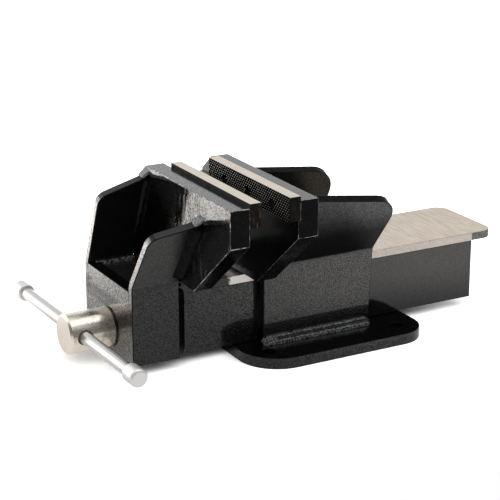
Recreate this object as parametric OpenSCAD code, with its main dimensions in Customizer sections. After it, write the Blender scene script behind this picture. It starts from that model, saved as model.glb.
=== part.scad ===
// Offset bench vise, fabricated from welded steel plate.
// X runs along the slide, from the screw head to the tail. Y runs across it, with the
// overhanging jaw ends at -Y, called near here. Z is up. The origin is the centre of the
// base bolt pattern, on the underside of the base plate. Sizes are in millimetres.

/* [Base] */
// Length of the base plate along the slide
base_l = 188.5; // [176:0.5:240]
// Width of the base plate across the slide
base_w = 199; // [180:1:260]
// Thickness of the base plate
base_t = 10.5; // [8:0.5:16]
// Radius of the base plate's front corners
base_front_r = 40; // [20:1:50]
// Radius of the base plate's rear corners
base_rear_r = 30; // [20:1:50]
// Bolt hole spacing along the slide
bolt_x = 142; // [120:1:150]
// Bolt hole spacing across the slide
bolt_y = 150; // [140:1:160]
// Diameter of the bench bolt holes
bolt_d = 13; // [9:0.5:17]

/* [Slide] */
// Width over the slide's side plates
slide_w = 91; // [80:1:100]
// Height of the slide's side plates
slide_h = 59.5; // [54:0.5:70]
// Thickness of the slide's side plates
slide_t = 7; // [5:0.5:9]
// Length of the slide's side plates
slide_l = 365.5; // [340:0.5:420]
// Thickness of the slide's top plate
top_t = 8; // [6:0.5:12]
// Length of the top plate past the side plates
tail_l = 27; // [15:1:40]
// Radius of the tail's corners
tail_r = 13; // [5:1:25]
// Running gap under the slide
under_gap = 1; // [0.5:0.1:2]
// Running gap beside and above the slide
guide_gap = 0.4; // [0.2:0.1:1]

/* [Jaws] */
// Length of the jaw inserts
insert_l = 150; // [140:1:160]
// Height of the jaw inserts
insert_h = 22; // [18:0.5:28]
// Thickness of the jaw inserts
insert_t = 11; // [8:0.5:14]
// Height of the inserts above the jaw plates
insert_rise = 4; // [0:0.5:5]
// Opening between the inserts
opening = 27.3; // [5:0.1:60]
// Distance of the fixed gripping face ahead of the base's centre
face_ahead = 95; // [92:1:110]
// Thickness of the fixed jaw plate
fixed_t = 17.5; // [14:0.5:22]
// Thickness of the moving jaw plate
moving_t = 19; // [14:0.5:22]
// Height of the jaw plates' top edge above the bench
jaw_top = 178; // [172:1:190]
// Reach of the jaws past the slide's centre line, on the near side
jaw_reach = 151; // [140:1:170]
// Height of the jaw plates' square near end
jaw_end = 34; // [26:1:40]
// Angle of the undercut below the near end, from upright
undercut = 50; // [45:1:54]
// Reach of the jaw plates' top edge on the far side
far_reach = 15; // [10:1:18]
// Width of the slope at the far top corner
far_slope_w = 18; // [12:1:22]
// Height of the slope at the far top corner
far_slope_h = 15; // [10:1:20]
// Reach of the jaw plates' feet past the far side plates
foot_ledge = 4; // [0:0.5:8]
// Depth of the ledge under the fixed insert
ledge = 2; // [0.5:0.5:4]
// Gap between the fixed jaw plate and the slide
fixed_gap = 3.2; // [1:0.1:5]
// Height of the moving jaw plate's overhang above the slide
heel = 6.5; // [4:0.1:9]

/* [Jaw screws] */
// Thread diameter of the insert screws
cs_d = 5; // [4:0.5:8]
// Head diameter of the insert screws
cs_head = 9.5; // [8:0.5:14]
// Depth of the screw heads below the gripping face
cs_sink = 2.5; // [0.5:0.1:4]
// Length of thread in the jaw plate
cs_grip = 12; // [8:0.5:13.5]
// Width over the corners of the insert screws' sockets
cs_socket = 3.5; // [3:0.5:5.5]
// Distance between the insert screws
cs_pitch = 43; // [30:1:60]
// Drop of the insert screws below the insert's middle
cs_drop = 2.5; // [0:0.5:4]

/* [Side plates] */
// Length of the moving jaw's frame, ahead of its jaw plate
frame_l = 47; // [40:1:60]
// Thickness of the moving jaw's side plates
frame_t = 7; // [5:0.5:10]
// Thickness of the front plate
front_t = 12; // [8:0.5:16]
// Height of the front plate above the slide
front_lip = 3; // [1:0.5:5]
// Length of the fixed body's side plates
body_l = 116; // [105:0.5:126]
// Thickness of the fixed body's side plates
body_t = 8; // [6:0.5:12]
// Thickness of the bridge plate
bridge_t = 10; // [6:0.5:14]
// Thickness of the guide strips
strip_t = 2; // [1.5:0.1:4]
// Height of the guide strips
strip_h = 36; // [20:1:44]
// Height of the guide strips above the base plate
strip_lift = 11; // [4:1:14]

/* [Wings] */
// Lean of the near wings from upright
near_lean = 35; // [25:1:40]
// Lean of the far front wing from upright
far_front_lean = 23; // [15:1:27]
// Lean of the far rear wing from upright
far_rear_lean = 27; // [15:1:30]
// Inside radius of the bends
bend_r = 12; // [6:1:16]
// Height of the near bends above the slide
near_bend = 3.2; // [3:0.1:6]
// Height of the far bends above the slide
far_bend = 0.2; // [0.1:0.1:2]
// Length of the near front wing at the jaw plate
near_front_l = 76; // [60:1:84]
// Fall of the near front wing's top edge
near_front_fall = 11; // [4:1:20]
// Length of the far front wing at the jaw plate
far_front_l = 92; // [70:1:94]
// Fall of the far front wing's top edge
far_front_fall = 17; // [4:1:24]
// Length of the near rear wing at the jaw plate
near_rear_l = 91; // [80:1:98]
// Fall of the near rear wing's top edge
near_rear_fall = 26; // [10:1:32]
// Length of the far rear wing at the jaw plate
far_rear_l = 86; // [70:1:88]
// Fall of the far rear wing's top edge
far_rear_fall = 19; // [8:1:26]
// Corner radius of the front wings
front_wing_r = 12; // [4:1:20]
// Corner radius of the rear wings
rear_wing_r = 30; // [8:1:36]
// Lean of the body's rear edges from upright
rear_flare = 3.5; // [0:0.5:6]

/* [Screw] */
// Height of the screw's axis above the bench
screw_z = 34; // [33:0.5:38]
// Diameter of the plain journal behind the head
journal_d = 24; // [23:0.5:28]
// Outside diameter of the thread
thread_d = 22; // [18:0.5:22.5]
// Length of the spindle behind the head
screw_l = 320; // [305:1:340]
// Chamfer of the spindle's rear end
screw_tip = 2; // [0.5:0.5:4]
// Diameter of the head
head_d = 38; // [34:0.5:44]
// Length of the head
head_l = 43.5; // [40:0.5:55]
// Chamfer of the head's front edge
head_chamfer = 2; // [0.5:0.5:4]
// Distance of the bar hole behind the head's front face
bar_back = 14; // [11:0.5:15]
// Diameter of the spindle's end in the head
spigot_d = 20; // [14:0.5:22]
// Length of the spindle's end in the head
spigot_l = 18; // [10:0.5:20]
// Diameter of the thrust washer
washer_d = 33; // [30:0.5:36]
// Thickness of the thrust washer
washer_t = 1.5; // [1:0.1:3]
// Diameter of the retaining collar
collar_d = 40; // [34:0.5:44]
// Length of the retaining collar
collar_l = 14; // [10:0.5:20]
// Diameter of the collar's pin
pin_d = 6; // [4:0.5:7]
// Depth of the pin's ends below the collar's surface
pin_sink = 1; // [0.5:0.1:2]
// Running clearance of the screw and the bar, on the radius
run_gap = 0.05; // [0.02:0.01:0.1]
// End play of the screw at the front plate, on each side
end_play = 0.1; // [0.05:0.05:0.5]
// Clearance of fixed round fits, on the radius
fit_gap = 0.02; // [0.01:0.01:0.05]

/* [Nut] */
// Length of the nut block
nut_l = 48; // [40:1:56]
// Distance of the nut block behind the fixed gripping face
nut_back = 38; // [30:1:45]
// Metal above the thread and outside the nut's bolts
nut_wall = 8; // [5:0.5:10]
// Metal between the thread and the nut's bolts
nut_web = 2; // [1:0.5:4]
// Thread diameter of the nut's bolts
nut_bolt_d = 8; // [6:0.5:10]
// Head diameter of the nut's bolts
nut_bolt_head = 16; // [12:0.5:20]
// Width over the corners of the sockets of the nut's bolts
nut_socket = 6; // [4:0.5:7]
// Length of the nut's bolts above the base plate
nut_grip = 18; // [12:0.5:24]
// Distance between the nut's bolts along the slide
nut_pitch = 26; // [20:1:28]

/* [Tommy bar] */
// Diameter of the bar
bar_d = 12; // [9:0.5:13]
// Length over the knobs
bar_l = 281; // [220:1:320]
// Shift of the bar towards the far side
bar_shift = 6.5; // [-40:0.5:40]
// Tilt of the bar, near end up
bar_tilt = 1.4; // [0:0.1:20]
// Diameter of the end knobs
knob_d = 17; // [15:0.5:22]
// Length of the end knobs
knob_l = 19; // [15:0.5:25]
// Depth of the bar in the end knobs
knob_bore = 13; // [8:0.5:14]
// Edge radius of the end knobs
knob_r = 3; // [1:0.5:5]
// Diameter of the countersunk mouths of the bar hole
mouth_d = 15.5; // [14:0.5:17]

/* [Hidden] */
$fn = 64;
steps = 8;
big = 400;

// Heights
slide_z = base_t + under_gap;
top_z = slide_z + slide_h;
slide_top = top_z + top_t;
near_bend_z = slide_top + near_bend;
far_bend_z = slide_top + far_bend;
fixed_foot = slide_top + fixed_gap;
moving_foot = slide_top + heel;
insert_z1 = jaw_top + insert_rise;
insert_z0 = insert_z1 - insert_h;
cs_z = (insert_z0 + insert_z1) / 2 - cs_drop;

// Places along the slide
fixed_face = -face_ahead;
fixed_x0 = fixed_face + insert_t;
body_x0 = fixed_x0 + fixed_t;
body_x1 = body_x0 + body_l;
moving_face = fixed_face - opening;
moving_x1 = moving_face - insert_t;
moving_x0 = moving_x1 - moving_t;
front_x0 = moving_x0 - frame_l;
front_x1 = front_x0 + front_t;
slide_x1 = front_x1 + slide_l;
tail_x1 = slide_x1 + tail_l;
head_x1 = front_x0 - end_play - washer_t;
head_x0 = head_x1 - head_l;
bar_x = head_x0 + bar_back;
collar_x0 = front_x1 + end_play;
collar_x1 = collar_x0 + collar_l;
pin_x = (collar_x0 + collar_x1) / 2;
screw_x1 = head_x1 + screw_l;
nut_x0 = fixed_face + nut_back;
nut_mid = nut_x0 + nut_l / 2;

// Places across the slide
slide_y = slide_w / 2;
frame_y = slide_y + frame_t;
body_in = slide_y + guide_gap + strip_t;
body_y = body_in + body_t;
insert_y0 = -jaw_reach;
insert_mid = insert_y0 + insert_l / 2;
nut_bolt_y = thread_d / 2 + nut_web + nut_bolt_d / 2;
nut_y = nut_bolt_y + nut_bolt_d / 2 + nut_wall;
nut_top = screw_z + thread_d / 2 + nut_wall;

paint = [0.17, 0.17, 0.18];
steel = [0.72, 0.71, 0.69];
dark = [0.30, 0.30, 0.31];
bright = [0.85, 0.84, 0.82];
bronze = [0.66, 0.52, 0.30];

// Points of an arc
function arc(c, r, a0, a1) =
  [for (i = [0:steps]) let (a = a0 + (a1 - a0) * i / steps) c + r * [cos(a), sin(a)]];

function unit(v) = v / norm(v);

// Arc that rounds the corner p between the points a and b
function rounded(a, p, b, r) =
  let (u = unit(a - p), w = unit(b - p), half = acos(u * w) / 2)
  let (c = p + unit(u + w) * r / sin(half), d = r / tan(half))
  let (s = p + u * d - c, e = p + w * d - c)
  let (a0 = atan2(s[1], s[0]), a1 = atan2(e[1], e[0]))
  arc(c, r, a0, a0 + (a1 - a0 + 540) % 360 - 180);

// Section of a plate that stands on z0 and bends towards -Y at the height zb
function bent(yf, t, z0, zb, lean, l) =
  let (c = [yf - bend_r, zb], run = l * [-sin(lean), cos(lean)])
  let (out = [cos(lean), sin(lean)])
  concat(
    [[yf, z0]],
    arc(c, bend_r, 0, lean),
    [c + bend_r * out + run, c + (bend_r + t) * out + run],
    arc(c, bend_r + t, lean, 0),
    [[yf + t, z0]]
  );

// Extrusion of a YZ section along X
module along_x(x0, x1) {
  translate([x0, 0, 0])
    rotate([90, 0, 90])
      linear_extrude(x1 - x0)
        children();
}

// Cylinder along X
module rod_x(x0, x1, d) {
  translate([x0, 0, screw_z])
    rotate([0, 90, 0])
      cylinder(h = x1 - x0, d = d);
}

// Bent side plate. The wing is l0 long at the jaw end xj and falls towards the free end,
// which stands at xe on the plate's foot and leans outwards by the flare.
module side_plate(xj, xe, yf, t, z0, zb, lean, l0, fall, r, flare = 0) {
  l1 = l0 - fall;
  foot = (z0 - zb) * cos(lean) - bend_r * sin(lean);
  slope = sign(xe - xj) * tan(flare);
  tip = xe + slope * (l1 - foot);
  edge = [[xj, -big], [xj, l0], [tip, l1], [xe - slope * (big + foot), -big]];
  outline = concat(
    [edge[0], edge[1]],
    rounded(edge[1], edge[2], edge[3], r),
    [edge[3]]
  );
  intersection() {
    along_x(min(xj, tip), max(xj, tip))
      polygon(bent(yf, t, z0, zb, lean, l0 + t));
    translate([0, yf - bend_r + bend_r * cos(lean), zb + bend_r * sin(lean)])
      rotate([90 + lean, 0, 0])
        linear_extrude(big, center = true)
          polygon(outline);
  }
}

// Jaw plate with its undercut near end and sloped far corner
module jaw_plate(x0, x1, foot, far_y) {
  end_z = jaw_top - jaw_end;
  foot_y = -jaw_reach + (end_z - foot) * tan(undercut);
  outline = [
    [-jaw_reach, jaw_top],
    [-jaw_reach, end_z],
    [foot_y, foot],
    [far_y + foot_ledge, foot],
    [far_reach + far_slope_w, jaw_top - far_slope_h],
    [far_reach, jaw_top]
  ];
  along_x(x0, x1)
    polygon(outline);
}

// Shape of a countersunk screw along +X, with its head's face at the origin
module cs_shape(d, head, l, gap = 0) {
  cone = (head - d) / 2;
  rotate([0, 90, 0]) {
    cylinder(h = cone, d1 = head, d2 = d);
    cylinder(h = l, d = d + 2 * gap);
  }
}

// Countersunk screw with a hexagon socket
module cs_screw(d, head, l, socket) {
  difference() {
    cs_shape(d, head, l);
    translate([-1, 0, 0])
      rotate([0, 90, 0])
        cylinder(h = 1 + d / 2, d = socket, $fn = 6);
  }
}

// Places of the three insert screws
module cs_places() {
  for (i = [-1:1])
    translate([0, insert_mid + i * cs_pitch, cs_z])
      children();
}

// Jaw insert with its gripping face at x = 0 and its back at +X
module insert() {
  difference() {
    translate([0, insert_y0, insert_z0])
      cube([insert_t, insert_l, insert_h]);
    cs_places() {
      translate([-1, 0, 0])
        rotate([0, 90, 0])
          cylinder(h = 1 + cs_sink, d = cs_head);
      translate([cs_sink, 0, 0])
        cs_shape(cs_d, cs_head, insert_t, fit_gap);
    }
  }
}

// Insert screws, with the gripping face at x = 0
module insert_screws() {
  cs_places()
    translate([cs_sink, 0, 0])
      cs_screw(cs_d, cs_head, insert_t - cs_sink + cs_grip, cs_socket);
}

// Threaded holes of the insert screws, from the jaw plate's face at x = 0
module insert_holes() {
  cs_places()
    translate([-1, 0, 0])
      rotate([0, 90, 0])
        cylinder(h = 1 + cs_grip + fit_gap, d = cs_d + 2 * fit_gap);
}

// Places of the nut's four bolts, on the underside of the base plate
module nut_bolt_places() {
  for (x = [-1, 1], y = [-1, 1])
    translate([nut_mid + x * nut_pitch / 2, y * nut_bolt_y, 0])
      rotate([0, -90, 0])
        children();
}

// Half of the base plate's outline, towards +X, with round corners
module base_half(r) {
  translate([0, -base_w / 2])
    square([base_l / 2 - r, base_w]);
  translate([0, r - base_w / 2])
    square([base_l / 2, base_w - 2 * r]);
  for (y = [-1, 1])
    translate([base_l / 2 - r, y * (base_w / 2 - r)])
      circle(r = r);
}

module base_outline() {
  base_half(base_rear_r);
  mirror([1, 0])
    base_half(base_front_r);
}

module base_plate() {
  color(paint)
    difference() {
      linear_extrude(base_t)
        base_outline();
      for (x = [-1, 1], y = [-1, 1])
        translate([x * bolt_x / 2, y * bolt_y / 2, -1])
          cylinder(h = base_t + 2, d = bolt_d);
      nut_bolt_places()
        cs_shape(nut_bolt_d, nut_bolt_head, base_t + 1, fit_gap);
    }
}

module body_side_near() {
  color(paint)
    side_plate(body_x0, body_x1, -body_y, body_t, base_t, near_bend_z,
      near_lean, near_rear_l, near_rear_fall, rear_wing_r, rear_flare);
}

module body_side_far() {
  color(paint)
    side_plate(body_x0, body_x1, body_in, body_t, base_t, far_bend_z,
      far_rear_lean, far_rear_l, far_rear_fall, rear_wing_r, rear_flare);
}

module bridge_plate() {
  color(paint)
    difference() {
      translate([body_x0, -body_in, slide_top + guide_gap])
        cube([body_l, 2 * body_in, bridge_t]);
      body_side_far();
    }
}

module fixed_jaw_plate() {
  color(paint)
    difference() {
      jaw_plate(fixed_x0 - ledge, body_x0, fixed_foot, body_y);
      translate([fixed_x0 - big, -big, insert_z0])
        cube([big, 2 * big, big]);
      translate([fixed_x0, 0, 0])
        insert_holes();
    }
}

module fixed_jaw_insert() {
  color(steel)
    translate([fixed_face, 0, 0])
      insert();
}

module fixed_jaw_screws() {
  color(dark)
    translate([fixed_face, 0, 0])
      insert_screws();
}

module guide_strip() {
  translate([body_x0, -strip_t / 2, base_t + strip_lift])
    cube([body_l, strip_t, strip_h]);
}

module guide_strip_near() {
  color(bronze)
    translate([0, -body_in + strip_t / 2, 0])
      guide_strip();
}

module guide_strip_far() {
  color(bronze)
    translate([0, body_in - strip_t / 2, 0])
      guide_strip();
}

module lead_nut() {
  color(dark)
    difference() {
      translate([nut_x0, -nut_y, base_t])
        cube([nut_l, 2 * nut_y, nut_top - base_t]);
      rod_x(nut_x0 - 1, nut_x0 + nut_l + 1, thread_d + 2 * run_gap);
      nut_bolt_places()
        cs_shape(nut_bolt_d, nut_bolt_head, base_t + nut_grip + fit_gap, fit_gap);
    }
}

module nut_bolts() {
  color(dark)
    nut_bolt_places()
      cs_screw(nut_bolt_d, nut_bolt_head, base_t + nut_grip, nut_socket);
}

module front_plate() {
  color(paint)
    difference() {
      translate([front_x0, -slide_y, slide_z])
        cube([front_t, slide_w, slide_top + front_lip - slide_z]);
      rod_x(front_x0 - 1, front_x1 + 1, journal_d + 2 * run_gap);
      jaw_side_far();
    }
}

module jaw_side_near() {
  color(paint)
    side_plate(moving_x0, front_x0, -frame_y, frame_t, slide_z, near_bend_z,
      near_lean, near_front_l, near_front_fall, front_wing_r);
}

module jaw_side_far() {
  color(paint)
    side_plate(moving_x0, front_x0, slide_y, frame_t, slide_z, far_bend_z,
      far_front_lean, far_front_l, far_front_fall, front_wing_r);
}

module moving_jaw_plate() {
  color(paint)
    difference() {
      union() {
        jaw_plate(moving_x0, moving_x1, moving_foot, frame_y);
        translate([moving_x0, -slide_y, slide_top])
          cube([moving_t, slide_w, 2 * heel]);
      }
      translate([moving_x1, 0, 0])
        mirror([1, 0, 0])
          insert_holes();
    }
}

module moving_jaw_insert() {
  color(steel)
    translate([moving_face, 0, 0])
      mirror([1, 0, 0])
        insert();
}

module moving_jaw_screws() {
  color(dark)
    translate([moving_face, 0, 0])
      mirror([1, 0, 0])
        insert_screws();
}

module slide_top_plate() {
  color(steel)
    translate([0, 0, top_z])
      linear_extrude(top_t) {
        translate([front_x1, -slide_y])
          square([tail_x1 - tail_r - front_x1, slide_w]);
        translate([front_x1, -slide_y + tail_r])
          square([tail_x1 - front_x1, slide_w - 2 * tail_r]);
        for (y = [-1, 1])
          translate([tail_x1 - tail_r, y * (slide_y - tail_r)])
            circle(r = tail_r);
      }
}

module slide_side(y0) {
  translate([front_x1, y0, slide_z])
    cube([slide_l, slide_t, slide_h]);
}

module slide_side_near() {
  color(paint)
    slide_side(-slide_y);
}

module slide_side_far() {
  color(paint)
    slide_side(slide_y - slide_t);
}

// Straight hole across the screw, tilted like the bar
module across(x, d, l) {
  translate([x, 0, screw_z])
    rotate([90 - bar_tilt, 0, 0])
      cylinder(h = l, d = d, center = true);
}

// Countersunk mouths of the bar hole, on both sides of the head
module bar_mouths() {
  deep = (mouth_d - bar_d) / 2;
  for (s = [0, 180])
    translate([bar_x, 0, screw_z])
      rotate([90 - bar_tilt + s, 0, 0])
        translate([0, 0, head_d / 2 - 2 * deep])
          cylinder(h = 2 * deep + 1, d1 = bar_d, d2 = mouth_d + 1);
}

module screw_head() {
  r = head_d / 2;
  color(bright)
    difference() {
      translate([head_x0, 0, screw_z])
        rotate([0, 90, 0])
          rotate_extrude()
            polygon([
              [0, 0],
              [r - head_chamfer, 0],
              [r, head_chamfer],
              [r, head_l],
              [0, head_l]
            ]);
      across(bar_x, bar_d + 2 * run_gap, 2 * head_d);
      bar_mouths();
      rod_x(head_x1 - spigot_l, head_x1 + 1, spigot_d + 2 * fit_gap);
    }
}

module lead_screw() {
  color(steel)
    difference() {
      union() {
        rod_x(head_x1 - spigot_l, head_x1 + 1, spigot_d);
        rod_x(head_x1, collar_x1, journal_d);
        rod_x(collar_x1 - 1, screw_x1 - screw_tip, thread_d);
        translate([screw_x1 - screw_tip, 0, screw_z])
          rotate([0, 90, 0])
            cylinder(h = screw_tip, d1 = thread_d, d2 = thread_d - 2 * screw_tip);
      }
      across(pin_x, pin_d + 2 * fit_gap, 2 * collar_d);
    }
}

module thrust_washer() {
  color(dark)
    difference() {
      rod_x(head_x1, head_x1 + washer_t, washer_d);
      rod_x(head_x1 - 1, head_x1 + washer_t + 1, journal_d + 2 * fit_gap);
    }
}

module retaining_collar() {
  color(dark)
    difference() {
      rod_x(collar_x0, collar_x1, collar_d);
      rod_x(collar_x0 - 1, collar_x1 + 1, journal_d + 2 * fit_gap);
      across(pin_x, pin_d + 2 * fit_gap, 2 * collar_d);
    }
}

module collar_pin() {
  color(steel)
    across(pin_x, pin_d, collar_d - 2 * pin_sink);
}

// Frame of the tommy bar, with the bar along +Z from its near end
module on_bar() {
  translate([bar_x, 0, screw_z])
    rotate([-90 - bar_tilt, 0, 0])
      translate([0, 0, bar_shift - bar_l / 2])
        children();
}

module tommy_bar() {
  inset = knob_l - knob_bore;
  color(bright)
    on_bar()
      translate([0, 0, inset])
        cylinder(h = bar_l - 2 * inset, d = bar_d);
}

// End knob on +Z, with its outer face at z = 0
module knob() {
  r = knob_d / 2;
  section = concat(
    [[0, 0]],
    arc([r - knob_r, knob_r], knob_r, -90, 0),
    arc([r - knob_r / 2, knob_l - knob_r / 2], knob_r / 2, 0, 90),
    [[0, knob_l]]
  );
  difference() {
    rotate_extrude()
      polygon(section);
    translate([0, 0, knob_l - knob_bore])
      cylinder(h = knob_bore + 1, d = bar_d + 2 * fit_gap);
  }
}

module bar_knob_near() {
  color(bright)
    on_bar()
      knob();
}

module bar_knob_far() {
  color(bright)
    on_bar()
      translate([0, 0, bar_l])
        mirror([0, 0, 1])
          knob();
}

base_plate();
body_side_near();
body_side_far();
bridge_plate();
fixed_jaw_plate();
fixed_jaw_insert();
fixed_jaw_screws();
guide_strip_near();
guide_strip_far();
lead_nut();
nut_bolts();
front_plate();
jaw_side_near();
jaw_side_far();
moving_jaw_plate();
moving_jaw_insert();
moving_jaw_screws();
slide_top_plate();
slide_side_near();
slide_side_far();
screw_head();
lead_screw();
thrust_washer();
retaining_collar();
collar_pin();
tommy_bar();
bar_knob_near();
bar_knob_far();
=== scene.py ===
"""Looks of the offset bench vise: enamel, bare steel, knurled inserts, welds and studio."""

import math

import bmesh
import bpy
from mathutils import Matrix, Vector, noise

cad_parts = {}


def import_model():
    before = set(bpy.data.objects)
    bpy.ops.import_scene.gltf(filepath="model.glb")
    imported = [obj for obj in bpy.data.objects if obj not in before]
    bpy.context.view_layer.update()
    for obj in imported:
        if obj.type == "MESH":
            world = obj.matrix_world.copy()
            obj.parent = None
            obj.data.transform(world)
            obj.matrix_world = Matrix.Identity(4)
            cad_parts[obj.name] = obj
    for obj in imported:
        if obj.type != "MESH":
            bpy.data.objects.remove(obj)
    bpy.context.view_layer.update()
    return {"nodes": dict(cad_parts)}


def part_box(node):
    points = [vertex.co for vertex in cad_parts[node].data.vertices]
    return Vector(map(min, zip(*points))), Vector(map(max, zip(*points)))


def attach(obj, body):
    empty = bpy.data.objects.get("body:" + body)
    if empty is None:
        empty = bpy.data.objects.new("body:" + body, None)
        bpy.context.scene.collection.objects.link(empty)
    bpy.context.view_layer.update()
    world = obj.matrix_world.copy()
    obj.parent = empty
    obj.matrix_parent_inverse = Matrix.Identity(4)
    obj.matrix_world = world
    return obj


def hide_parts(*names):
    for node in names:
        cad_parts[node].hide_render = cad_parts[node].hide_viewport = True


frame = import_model()
nodes = frame["nodes"]
MM = 0.001

# Sizes that the frame doesn't give, as in the solids
NEAR_LEAN = math.radians(35)
FAR_FRONT_LEAN = math.radians(23)
FAR_REAR_LEAN = math.radians(27)
BEND_R = 12 * MM
NEAR_BEND = 3.2 * MM
FAR_BEND = 0.2 * MM
FRAME_T = 7 * MM
BODY_T = 8 * MM
WING_L = {"near_front": 76 * MM, "far_front": 92 * MM, "near_rear": 91 * MM, "far_rear": 86 * MM}
LEAD = 6 * MM
CS_HEAD = 9.5 * MM
CS_PITCH = 43 * MM
CS_DROP = 2.5 * MM

# Places taken from the frame
base_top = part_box("base_plate")[1].z
slide_low, slide_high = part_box("slide_side_near")
slide_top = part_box("slide_top_plate")[1].z
slide_y = -slide_low.y
frame_y = slide_y + FRAME_T
body_in = -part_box("guide_strip_near")[0].y
body_y = body_in + BODY_T
body_x0, body_x1 = (corner.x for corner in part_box("bridge_plate"))
bridge_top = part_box("bridge_plate")[1].z
front_x0, front_x1 = (corner.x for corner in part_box("front_plate"))
moving_x0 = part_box("moving_jaw_plate")[0].x


class Nodes:
    """A node tree under construction."""

    def __init__(self, tree):
        self.tree = tree

    def add(self, kind, inputs=None, **settings):
        """A node with its settings and inputs."""
        node = self.tree.nodes.new(kind)
        for key, value in settings.items():
            setattr(node, key, value)
        for key, value in (inputs or {}).items():
            self.put(node.inputs[key], value)
        return node

    def put(self, socket, value):
        """Links a socket to another, or sets its value."""
        if isinstance(value, bpy.types.NodeSocket):
            self.tree.links.new(value, socket)
        else:
            socket.default_value = value

    def span(self, value, low, high, to_low=0.0, to_high=1.0):
        """Value mapped from low..high to another range, clamped."""
        inputs = {"Value": value, 1: low, 2: high, 3: to_low, 4: to_high}
        return self.add("ShaderNodeMapRange", inputs).outputs["Result"]

    def math(self, operation, a, b=0.0, c=0.0):
        return self.add("ShaderNodeMath", {0: a, 1: b, 2: c}, operation=operation).outputs["Value"]

    def blend(self, share, a, b):
        """Value a where share is 0, b where it is 1."""
        return self.add("ShaderNodeMix", {0: share, 2: a, 3: b}).outputs[0]


class Shader(Nodes):
    """A node material under construction, in the row frame's metres."""

    def __init__(self, name):
        self.material = bpy.data.materials.new(name)
        self.material.use_nodes = True
        super().__init__(self.material.node_tree)
        self.surface = self.tree.nodes["Principled BSDF"]
        self.place = self.add("ShaderNodeTexCoord").outputs["Object"]

    def set(self, **values):
        """Sets inputs of the surface, whose names are written in small letters."""
        for key, value in values.items():
            self.put(self.surface.inputs[key.replace("_", " ").title().replace("Ior", "IOR")], value)

    def noise(self, size, detail=2.0, rough=0.5, scale=(1, 1, 1), turn=(0, 0, 0)):
        """Noise with features of about the given size in metres, stretched by scale."""
        mapped = self.add("ShaderNodeMapping", {"Vector": self.place, "Scale": scale, "Rotation": turn})
        inputs = {
            "Vector": mapped.outputs["Vector"],
            "Scale": 1 / size,
            "Detail": detail,
            "Roughness": rough,
        }
        return self.add("ShaderNodeTexNoise", inputs).outputs["Fac"]

    def mix(self, share, a, b):
        """Colour a where share is 0, b where it is 1."""
        node = self.add("ShaderNodeMix", data_type="RGBA")
        for index, value in ((0, share), (6, a), (7, b)):
            self.put(node.inputs[index], value)
        return node.outputs[2]

    def axis(self, name):
        """Coordinate along an axis of the row frame."""
        split = self.add("ShaderNodeSeparateXYZ", {"Vector": self.place})
        return split.outputs[name]

    def facing(self, name):
        """Component of the surface's normal along an axis of the row frame."""
        normal = self.add("ShaderNodeTexCoord").outputs["Normal"]
        return self.add("ShaderNodeSeparateXYZ", {"Vector": normal}).outputs[name]

    def bump(self, *layers):
        """Normal from (height, depth in metres) layers, one over the other."""
        normal = None
        for height, depth in layers:
            inputs = {"Height": height, "Distance": depth, "Strength": 1.0}
            if normal is not None:
                inputs["Normal"] = normal
            normal = self.add("ShaderNodeBump", inputs).outputs["Normal"]
        self.put(self.surface.inputs["Normal"], normal)


def grey(value, warm=0.0):
    """Grey, warmer by the share warm, or cooler where that is negative."""
    return (value * (1 + warm), value, value * (1 - warm), 1)


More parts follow.
